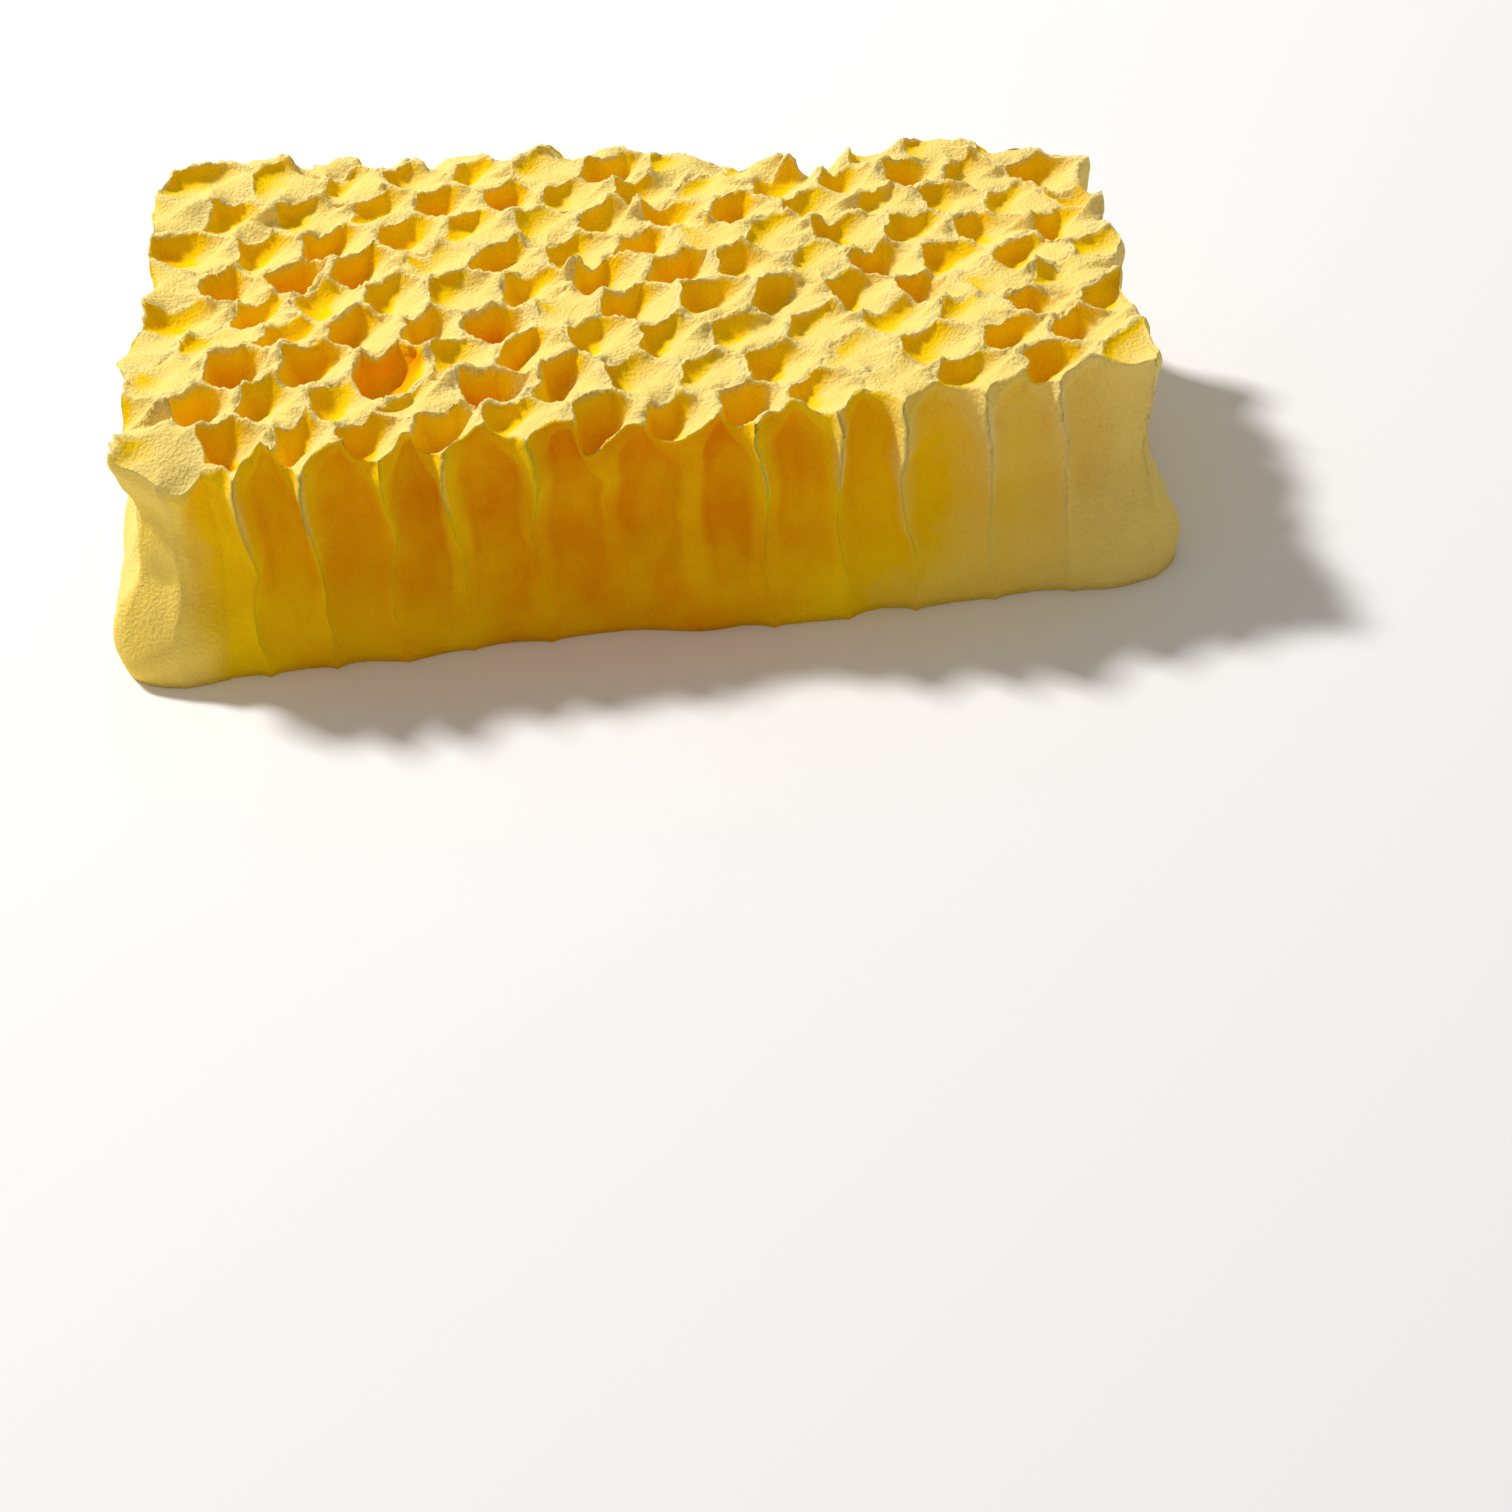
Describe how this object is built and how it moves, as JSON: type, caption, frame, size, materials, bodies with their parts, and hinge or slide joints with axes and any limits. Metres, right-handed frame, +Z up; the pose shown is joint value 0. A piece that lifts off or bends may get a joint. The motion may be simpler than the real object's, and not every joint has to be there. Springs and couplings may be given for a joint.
{
  "type": "honeycomb piece",
  "caption": "Toy slab of honeycomb in soft yellow modelling clay: open six-sided cells of uneven depth on top, fluted cut sides and a flat bottom that spreads a little at the ends.",
  "frame": {"origin": "middle of the flat bottom, under the middle of the slab's bounding box", "axes": "+X along the rows of cells, +Y from the front edge to the back edge, +Z up out of the cells"},
  "size_m": [0.0862, 0.0508, 0.0211],
  "materials": {
    "yellow_clay": "soft matte air-dry clay with a fine powdery grain, paler on the torn rims and deeper amber in the cells"
  },
  "bodies": {
    "root": {"honeycomb_slab": "yellow_clay"}
  },
  "joints": []
}
